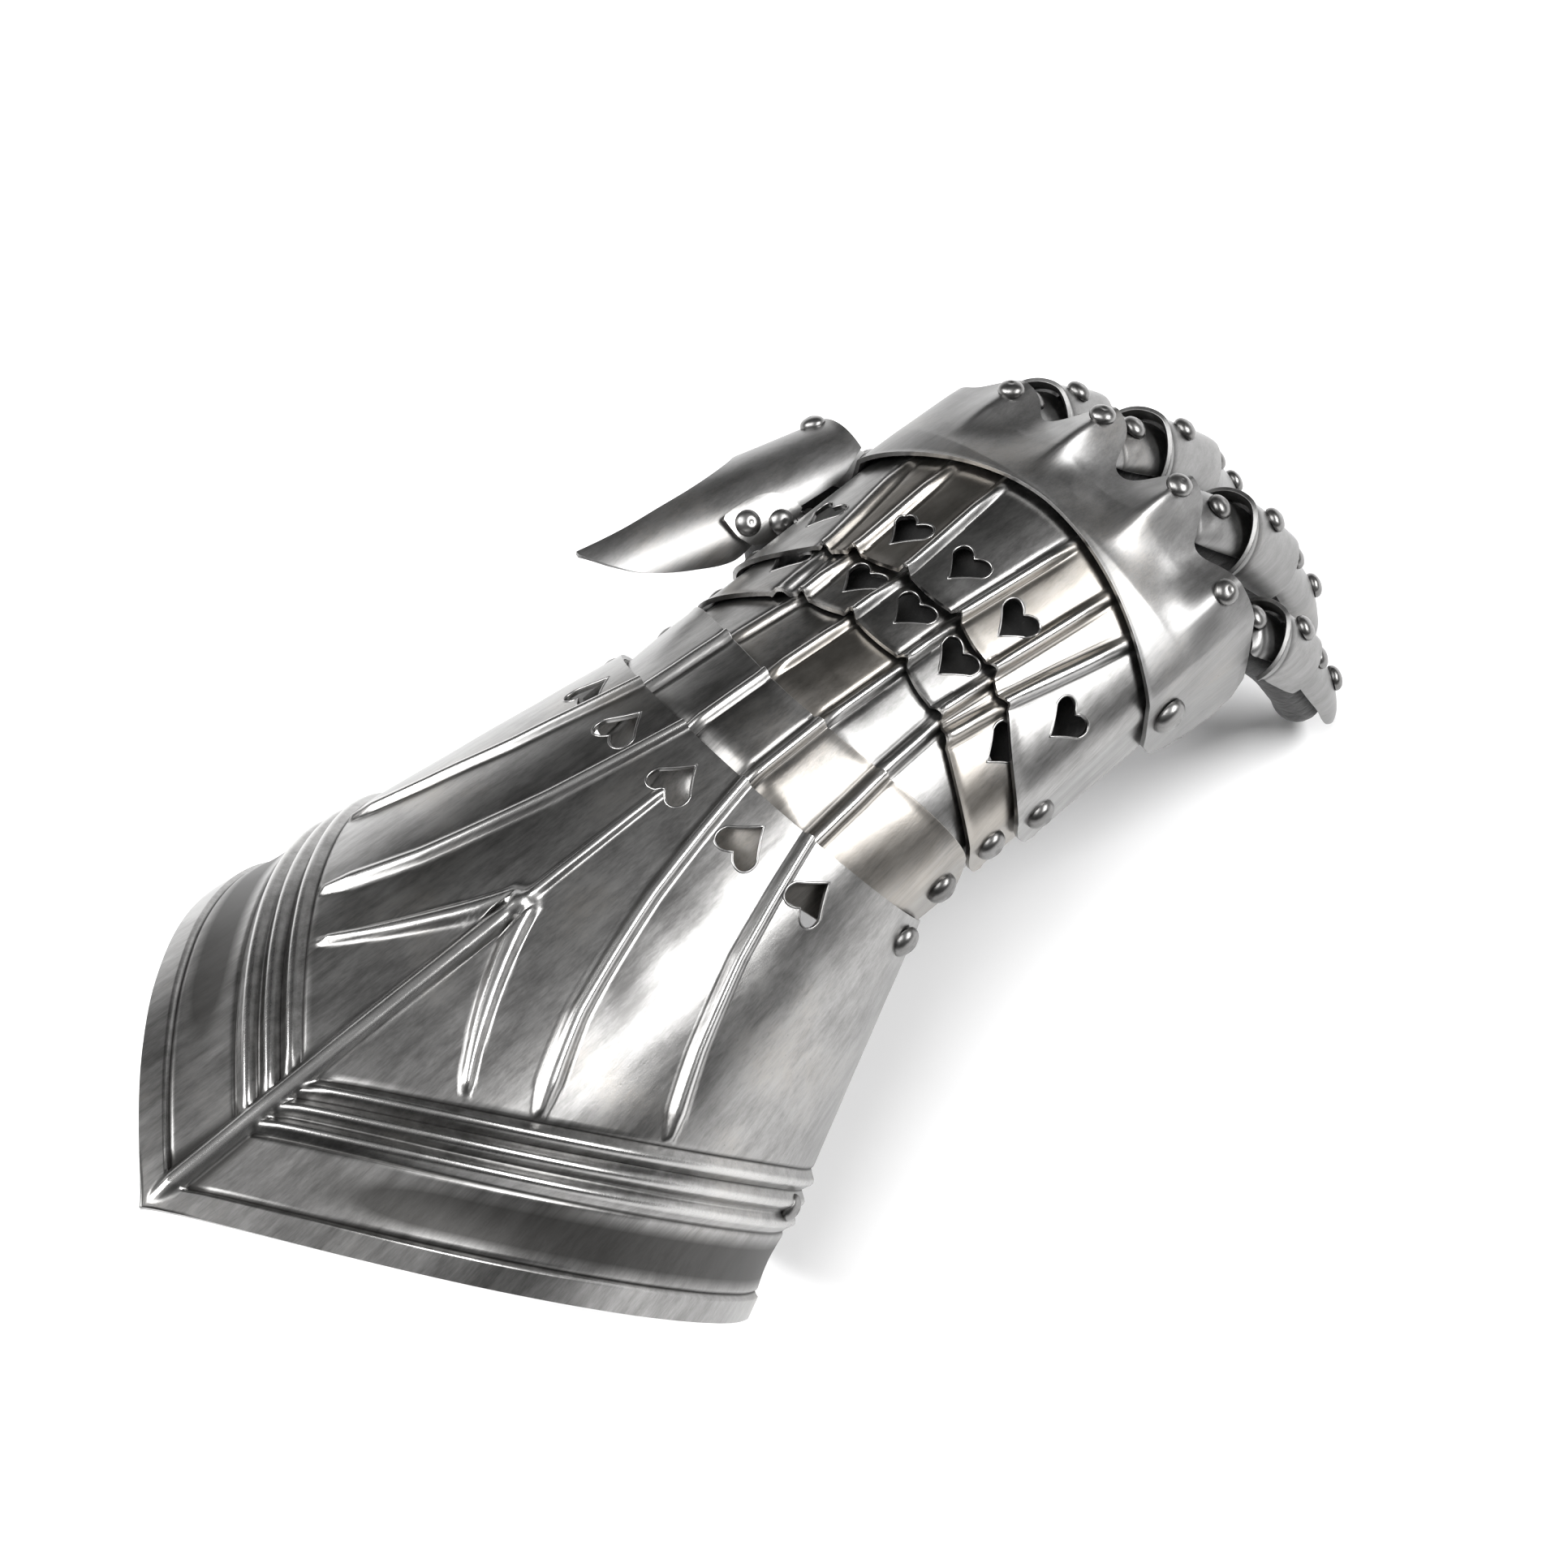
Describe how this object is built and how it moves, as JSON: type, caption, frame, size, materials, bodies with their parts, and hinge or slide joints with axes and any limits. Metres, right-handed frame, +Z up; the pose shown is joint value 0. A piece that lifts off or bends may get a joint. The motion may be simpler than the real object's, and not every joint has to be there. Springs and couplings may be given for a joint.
{
  "type": "armoured gauntlet",
  "caption": "Articulated steel gauntlet with a pointed fluted cuff, heart-pierced plates over wrist and hand, peaked knuckle plate and lamed fingers on a leather glove.",
  "frame": {"origin": "centre of the bounding box at its base, on the surface the gauntlet lies on", "axes": "+X towards the fingertips, +Y towards the thumb, +Z up out of the back of the hand"},
  "size_m": [0.3164, 0.1532, 0.145],
  "materials": {
    "steel": "bare steel, satin brushed, darker in the grooves",
    "leather": "black suede leather"
  },
  "bodies": {
    "cuff": {"cuff_plate": "steel", "cuff_inner_plate": "steel"},
    "lame_a": {"wrist_lame_a": "steel"},
    "lame_b": {"wrist_lame_b": "steel"},
    "lame_c": {"metacarpal_lame": "steel"},
    "hand": {"metacarpal_plate": "steel", "knuckle_plate": "steel", "index_lame_1": "steel", "index_lame_2": "steel", "index_lame_3": "steel", "middle_lame_1": "steel", "middle_lame_2": "steel", "middle_lame_3": "steel", "ring_lame_1": "steel", "ring_lame_2": "steel", "ring_lame_3": "steel", "little_lame_1": "steel", "little_lame_2": "steel", "little_lame_3": "steel", "thumb_plate": "steel", "thumb_hinge": "steel", "thumb_lame": "steel", "thumb_tip": "steel", "glove": "leather"}
  },
  "joints": [
    {"name": "cuff_rivets", "type": "hinge", "parent": "cuff", "child": "lame_a", "pos_m": [-0.00386, -0.00029, 0.07775], "axis": [-0.0015, 1, -0.0086], "range_deg": [-4, 4]},
    {"name": "wrist_lame_rivets", "type": "hinge", "parent": "lame_a", "child": "lame_b", "pos_m": [0.01117, -0.00028, 0.07658], "axis": [-0.0015, 1, -0.0086], "range_deg": [-4, 4]},
    {"name": "metacarpal_lame_rivets", "type": "hinge", "parent": "lame_b", "child": "lame_c", "pos_m": [0.02692, -0.00028, 0.07376], "axis": [-0.0015, 1, -0.0086], "range_deg": [-4, 4]},
    {"name": "metacarpal_plate_rivets", "type": "hinge", "parent": "lame_c", "child": "hand", "pos_m": [0.0407, -0.00028, 0.07129], "axis": [-0.0015, 1, -0.0086], "range_deg": [-4, 4]}
  ]
}
